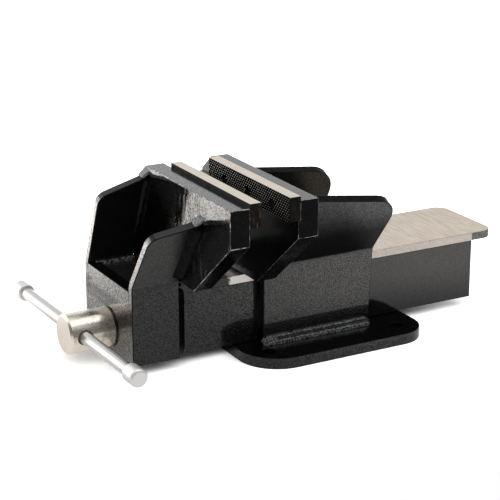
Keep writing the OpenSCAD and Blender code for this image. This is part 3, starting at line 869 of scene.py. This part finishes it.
def insert(node, body, towards, end_material):
    """A jaw insert with a diamond knurl cut into its gripping face, which looks along towards."""
    low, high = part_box(node)
    face, back = (high.x, low.x) if towards > 0 else (low.x, high.x)
    columns = round((high.y - low.y) / TOOTH_Y / 2) * 2
    rows = round((high.z - low.z) / TOOTH_Z / 2) * 2
    bm = bmesh.new()
    grid = []
    for j in range(rows + 1):
        z = low.z + (high.z - low.z) * j / rows
        row = []
        for i in range(columns + 1):
            y = low.y + (high.y - low.y) * i / columns
            cut = KNURL_DEPTH if (i + j) % 2 else 0.0
            row.append(bm.verts.new((face - towards * cut, y, z)))
        grid.append(row)
    for j in range(rows):
        for i in range(columns):
            a, b, c, d = grid[j][i], grid[j][i + 1], grid[j + 1][i + 1], grid[j + 1][i]
            halves = ((a, b, d), (b, c, d)) if (i + j) % 2 == 0 else ((a, b, c), (a, c, d))
            for half in halves:
                bm.faces.new(half).material_index = 1
    rim = grid[0] + [row[-1] for row in grid[1:]] + grid[-1][-2::-1] + [row[0] for row in grid[-2:0:-1]]
    ring = [bm.verts.new((back, v.co.y, v.co.z)) for v in rim]
    count = len(rim)
    for k in range(count):
        side = bm.faces.new((rim[k], ring[k], ring[(k + 1) % count], rim[(k + 1) % count]))
        on_top = min(rim[k].co.z, rim[(k + 1) % count].co.z) > high.z - SLACK
        side.material_index = 0 if on_top else 2
    bm.faces.new(ring).material_index = 2
    bmesh.ops.recalc_face_normals(bm, faces=bm.faces)
    mesh = bpy.data.meshes.new(node + "_knurled")
    bm.to_mesh(mesh)
    bm.free()
    teeth = knurl(node + "_teeth", face, KNURL_DEPTH, low, high)
    piece = place(node + "_knurled", mesh, [GROUND, teeth, end_material], body)
    centre = (low + high) / 2
    through = high.x - low.x + 2 * DRILL_PAST
    drills = []
    for i in (-1, 0, 1):
        hole = (centre.x, centre.y + i * CS_PITCH, centre.z - CS_DROP)
        drills.append((Matrix.Translation(hole) @ ALONG_X, CS_HEAD / 2, through))
    drill(piece, drills)
    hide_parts(node)


def drill(piece, holes):
    """Cuts (place, radius, length) cylinders out of a piece."""
    bm = bmesh.new()
    for matrix, radius, length in holes:
        bmesh.ops.create_cone(
            bm, cap_ends=True, segments=32, radius1=radius, radius2=radius, depth=length, matrix=matrix
        )
    mesh = bpy.data.meshes.new("drills")
    bm.to_mesh(mesh)
    bm.free()
    mesh.materials.append(piece.data.materials[2])
    cutter = bpy.data.objects.new("drills", mesh)
    bpy.context.scene.collection.objects.link(cutter)
    modifier = piece.modifiers.new("drill", "BOOLEAN")
    modifier.object = cutter
    modifier.solver = "EXACT"
    bpy.context.view_layer.update()
    cut = bpy.data.meshes.new_from_object(piece.evaluated_get(bpy.context.evaluated_depsgraph_get()))
    piece.modifiers.clear()
    piece.data = cut
    bpy.data.objects.remove(cutter)


insert("moving_jaw_insert", "moving_jaw", 1, MOVING_SCALE)
insert("fixed_jaw_insert", "body", -1, FIXED_SCALE)


# Lead screw: radii and half widths of the thread's crest and root, its sunk foot and its ends
CREST_R, ROOT_R = 11 * MM, 8 * MM
CREST_HALF, ROOT_HALF = 1.0 * MM, 1.9 * MM
FOOT_SUNK = 0.3 * MM
THREAD_SHORT = (2 * MM, 5 * MM)
TIP_L, TIP_CUT = 4 * MM, 1.5 * MM
TURN_STEPS = 28


def lead_screw():
    """Spindle with a plain journal and a trapezoidal thread cut as one helix."""
    low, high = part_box("lead_screw")
    axis_z = (low.z + high.z) / 2
    journal_r = (high.z - low.z) / 2
    collar_x1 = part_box("retaining_collar")[1].x
    thread_x0, thread_x1 = collar_x1 + THREAD_SHORT[0], high.x - THREAD_SHORT[1]
    turns = (thread_x1 - thread_x0) / LEAD
    bm = bmesh.new()

    def rod(x0, x1, radius, end_radius=None):
        matrix = Matrix.Translation(((x0 + x1) / 2, 0, axis_z)) @ ALONG_X
        bmesh.ops.create_cone(
            bm,
            cap_ends=True,
            segments=48,
            radius1=radius,
            radius2=radius if end_radius is None else end_radius,
            depth=x1 - x0,
            matrix=matrix,
        )

    rod(low.x, collar_x1, journal_r)
    rod(collar_x1, high.x - TIP_L, ROOT_R)
    rod(high.x - TIP_L, high.x, ROOT_R, ROOT_R - TIP_CUT)
    foot = ROOT_R - FOOT_SUNK
    profile = ((-ROOT_HALF, foot), (-CREST_HALF, CREST_R), (CREST_HALF, CREST_R), (ROOT_HALF, foot))
    rings = []
    for i in range(round(turns * TURN_STEPS) + 1):
        angle = 2 * math.pi * i / TURN_STEPS
        x = thread_x0 + LEAD * i / TURN_STEPS
        y, z = math.sin(angle), math.cos(angle)
        rings.append([bm.verts.new((x + dx, r * y, axis_z + r * z)) for dx, r in profile])
    for a, b in zip(rings, rings[1:]):
        for k in range(4):
            bm.faces.new((a[k], a[(k + 1) % 4], b[(k + 1) % 4], b[k]))
    bm.faces.new(rings[0])
    bm.faces.new(rings[-1])
    bmesh.ops.recalc_face_normals(bm, faces=bm.faces)
    mesh = bpy.data.meshes.new("threaded_spindle")
    bm.to_mesh(mesh)
    bm.free()
    piece = place("threaded_spindle", mesh, [SPINDLE], "screw")
    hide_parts("lead_screw")
    smooth(piece, 30)


lead_screw()


# Floor: its edges, its drop below the base, its tones in plain light, in reflections and as seen
FLOOR_FRONT, FLOOR_BACK, FLOOR_SIDE = -0.36, 1.6, 1.6
FLOOR_DROP = 0.2 * MM
FLOOR_TONE, FLOOR_MIRRORED, FLOOR_SEEN = 0.95, 0.62, 1.6
# Its glows in reflections: from and to along an axis, with the strengths there
POOL_X, POOL_Y = (-0.08, 0.10, 0.02, 0.6), (-0.16, -0.08, 1.0, 0.0)
TAIL_X = (0.12, 0.22, 0.0, 0.3)
HEAD_X, HEAD_Y = (-0.20, -0.15, 0.3, 0.0), (-0.08, -0.04, 0.0, 1.0)
BACK_Y = (0.10, 0.40, 0.0, 2.3)
GLOW_TINT = (1.03, 0.98, 0.93, 1)
# Where it glows white to the camera, a painted light that lifts the object's shadow beside the head and
# under the tail: around which place, from and to which distance
WHITE_CENTRE, WHITE_FROM, WHITE_TO = (-0.04, -0.06, 0), 0.16, 0.40
# Studio in reflections, by the direction's y and z as above, and its fill of all other light
STUDIO_Y, STUDIO_Z = (-0.1, 0.4, 0.10, 0.95), (0.5, 0.8, 1.0, 0.15)
STUDIO_FILL = 0.35
# Reflected lights: direction, cosines of the bright core and of the outer rim, strength
SOFT_LIGHTS = (
    ((-0.53, 0.84, 0.06), 0.97, 0.86, 1.4),
    ((0.15, -0.02, 0.99), 0.95, 0.80, 1.0),
    ((0.45, -0.40, 0.80), 0.97, 0.87, 0.8),
    ((-0.40, 0.50, 0.77), 0.95, 0.85, 1.0),
)
# Lamp, and camera with its angles in degrees and its lens and sensor in millimetres
LAMP_AT, LAMP_AIM = (-0.25, -0.95, 1.08), (0, 0, 0.05)
LAMP_SIZE, LAMP_POWER = (2.4, 0.9), 25
CAMERA_AT = (-0.74873, -1.26998, 0.56806)
CAMERA_ELEVATION, CAMERA_AZIMUTH = 18.463, -28.806
LENS, SENSOR = 114.84, 36


def floor():
    """Pale floor that keeps the shadow and reads as white."""
    corners = (
        (-FLOOR_SIDE, FLOOR_FRONT, 0),
        (FLOOR_SIDE, FLOOR_FRONT, 0),
        (FLOOR_SIDE, FLOOR_BACK, 0),
        (-FLOOR_SIDE, FLOOR_BACK, 0),
    )
    mesh = bpy.data.meshes.new("floor")
    mesh.from_pydata(corners, [], [(0, 1, 2, 3)])
    piece = bpy.data.objects.new("floor", mesh)
    bpy.context.scene.collection.objects.link(piece)
    piece.location.z = -FLOOR_DROP
    s = Shader("pale_floor")
    path = s.add("ShaderNodeLightPath")
    mirrored = s.math("MAXIMUM", path.outputs["Is Glossy Ray"], path.outputs["Is Transmission Ray"])
    tone = s.mix(mirrored, grey(FLOOR_TONE), grey(FLOOR_MIRRORED))
    tone = s.mix(path.outputs["Is Camera Ray"], tone, grey(FLOOR_SEEN))
    s.set(base_color=tone, roughness=0.9, specular_ior_level=0.0)
    x, y = s.axis("X"), s.axis("Y")
    pool = s.math("MULTIPLY", s.span(x, *POOL_X), s.span(y, *POOL_Y))
    head = s.math("MULTIPLY", s.span(x, *HEAD_X), s.span(y, *HEAD_Y))
    pools = s.math("ADD", s.math("ADD", pool, s.span(x, *TAIL_X)), head)
    shown = s.math("MULTIPLY", mirrored, s.math("ADD", pools, s.span(y, *BACK_Y)))
    reach = s.add("ShaderNodeVectorMath", {0: s.place, 1: WHITE_CENTRE}, operation="DISTANCE")
    white = s.span(reach.outputs["Value"], WHITE_FROM, WHITE_TO)
    seen = s.math("MULTIPLY", path.outputs["Is Camera Ray"], white)
    tint = s.mix(mirrored, grey(1.0), GLOW_TINT)
    glow = s.add("ShaderNodeEmission", {"Color": tint, "Strength": s.math("ADD", seen, shown)})
    both = s.add("ShaderNodeAddShader", {0: s.surface.outputs[0], 1: glow.outputs[0]})
    s.tree.links.new(both.outputs[0], s.tree.nodes["Material Output"].inputs["Surface"])
    mesh.materials.append(s.material)


def world():
    """White behind the object, dark on the camera's side in reflections, and a plain grey fill."""
    studio = bpy.data.worlds.new("studio")
    bpy.context.scene.world = studio
    studio.use_nodes = True
    s = Nodes(studio.node_tree)
    path = s.add("ShaderNodeLightPath").outputs
    way = s.add("ShaderNodeTexCoord").outputs["Generated"]
    split = s.add("ShaderNodeSeparateXYZ", {"Vector": way}).outputs
    mirror = s.math("MULTIPLY", s.span(split["Y"], *STUDIO_Y), s.span(split["Z"], *STUDIO_Z))
    for direction, inner, outer, strength in SOFT_LIGHTS:
        toward = s.add("ShaderNodeVectorMath", {0: way, 1: direction}, operation="DOT_PRODUCT")
        glow = s.span(toward.outputs["Value"], outer, inner, 0.0, strength)
        mirror = s.math("ADD", mirror, glow)
    glossy = s.blend(path["Is Glossy Ray"], STUDIO_FILL, mirror)
    background = s.tree.nodes["Background"]
    s.put(background.inputs["Color"], grey(1.0))
    s.put(background.inputs["Strength"], s.blend(path["Is Camera Ray"], glossy, 1.0))


def softbox(name, at, aim, size, power):
    """Soft area lamp that the camera doesn't see."""
    lamp = bpy.data.lights.new(name, "AREA")
    lamp.shape = "RECTANGLE"
    lamp.size, lamp.size_y = size
    lamp.energy = power
    holder = bpy.data.objects.new(name, lamp)
    bpy.context.scene.collection.objects.link(holder)
    holder.location = at
    holder.rotation_euler = (Vector(aim) - Vector(at)).to_track_quat("-Z", "Y").to_euler()
    holder.visible_camera = False
    holder.visible_glossy = False


def camera():
    """Camera at the photograph's viewing angle."""
    data = bpy.data.cameras.new("camera")
    data.lens = LENS
    data.sensor_width = SENSOR
    holder = bpy.data.objects.new("camera", data)
    bpy.context.scene.collection.objects.link(holder)
    holder.location = CAMERA_AT
    holder.rotation_euler = (math.radians(90 - CAMERA_ELEVATION), 0, math.radians(CAMERA_AZIMUTH))
    bpy.context.scene.camera = holder


floor()
world()
softbox("overhead", LAMP_AT, LAMP_AIM, LAMP_SIZE, LAMP_POWER)
camera()
bpy.context.scene.view_settings.view_transform = "Standard"
